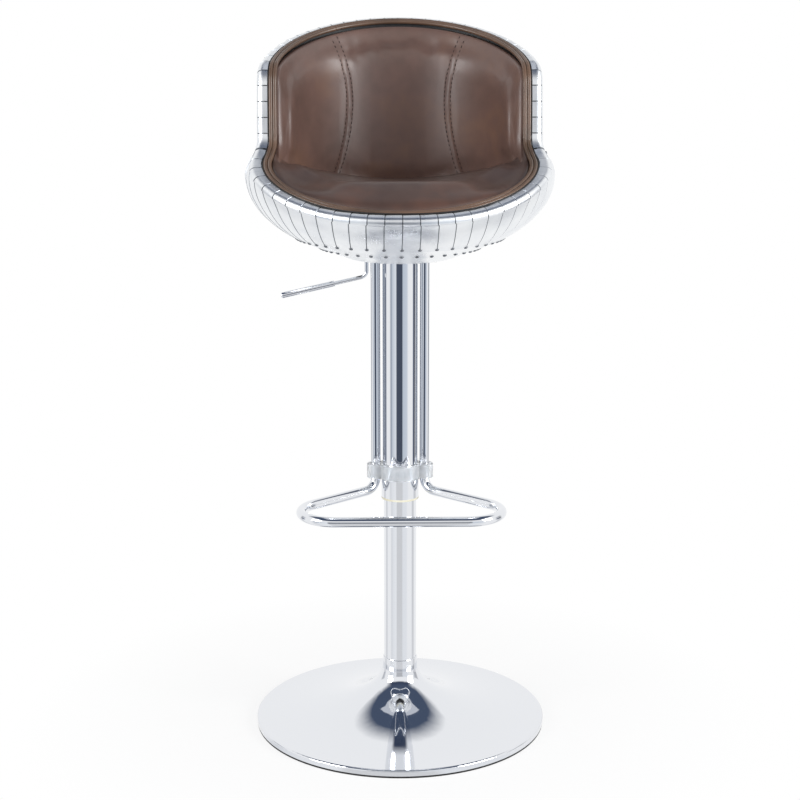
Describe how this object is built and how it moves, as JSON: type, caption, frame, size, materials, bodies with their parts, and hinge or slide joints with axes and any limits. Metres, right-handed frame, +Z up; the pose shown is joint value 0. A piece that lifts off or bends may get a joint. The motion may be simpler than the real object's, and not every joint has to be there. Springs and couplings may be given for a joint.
{
  "type": "swivel bar stool",
  "caption": "Swivel bar stool with a leather-lined riveted aluminium bucket seat, gas-lift column, wrap-round bent-tube footrest and a chromed trumpet base.",
  "frame": {"origin": "on the floor, under the column's axis", "axes": "+Z up along the column, the seat's open front faces -Y, the lever is on the -X side"},
  "size_m": [0.4544, 0.4522, 1.0797],
  "materials": {
    "chrome": "polished chrome plate on steel",
    "aluminium": "polished aluminium sheet with brushed grain",
    "leather": "glossy brown waxed leather with a worn patina",
    "welt_leather": "tan-brown waxed leather cord welt",
    "shell_plastic": "moulded fibre-reinforced plastic",
    "plywood": "raw plywood",
    "nylon": "cream moulded nylon",
    "clear_yoke": "milky clear moulded plastic",
    "black_steel": "black powder-coated steel",
    "bare_steel": "bare machined steel",
    "zinc_steel": "zinc-plated steel",
    "cast_iron": "rough cast iron",
    "rubber": "black rubber"
  },
  "bodies": {
    "base": {"base_cover": "chrome", "floor_ring": "rubber", "ballast_disc": "cast_iron", "pole_flange": "black_steel", "flange_bolts": "zinc_steel", "neck_ring": "chrome", "pole": "chrome", "guide_bush": "nylon", "bearing_seat": "bare_steel", "lower_race": "bare_steel"},
    "lift_rod": {"lift_rod": "bare_steel", "rod_clip": "bare_steel", "rod_shoulder": "bare_steel", "piston": "nylon", "upper_race": "bare_steel", "bearing_balls": "bare_steel", "ball_cage": "nylon"},
    "seat": {"gas_cylinder": "black_steel", "rod_gland": "nylon", "cover_tube": "chrome", "guide_sleeve": "chrome", "sleeve_bush": "nylon", "footrest": "chrome", "clamp_band": "clear_yoke", "bucket_shell": "shell_plastic", "aluminium_skin": "aluminium", "seat_board": "plywood", "seat_cushion": "leather", "back_cushion": "leather", "welt": "welt_leather", "seat_plate": "black_steel", "taper_hub": "black_steel", "plate_screws": "zinc_steel", "lever_bracket": "black_steel", "lever_pivot": "zinc_steel"},
    "lever": {"lever": "chrome", "lever_grip": "chrome"},
    "valve_pin": {"valve_pin": "bare_steel"}
  },
  "joints": [
    {"name": "swivel", "type": "hinge", "parent": "base", "child": "lift_rod", "pos_m": [0, 0, 0.031], "axis": [0, 0, 1], "continuous": true},
    {"name": "lift", "type": "slide", "parent": "lift_rod", "child": "seat", "axis": [0, 0, 1], "range_m": [-0.2, 0]},
    {"name": "lever_pull", "type": "hinge", "parent": "seat", "child": "lever", "pos_m": [-0.025, 0, 0.7541], "axis": [0, 1, 0], "range_deg": [0, 8], "stiffness_Nm_per_rad": 4},
    {"name": "valve_press", "type": "slide", "parent": "seat", "child": "valve_pin", "axis": [0, 0, -1], "range_m": [0, 0.0036]}
  ],
  "couplings": [
    {"joint": "valve_press", "follows": "lever_pull", "m_per_rad": 0.025}
  ]
}
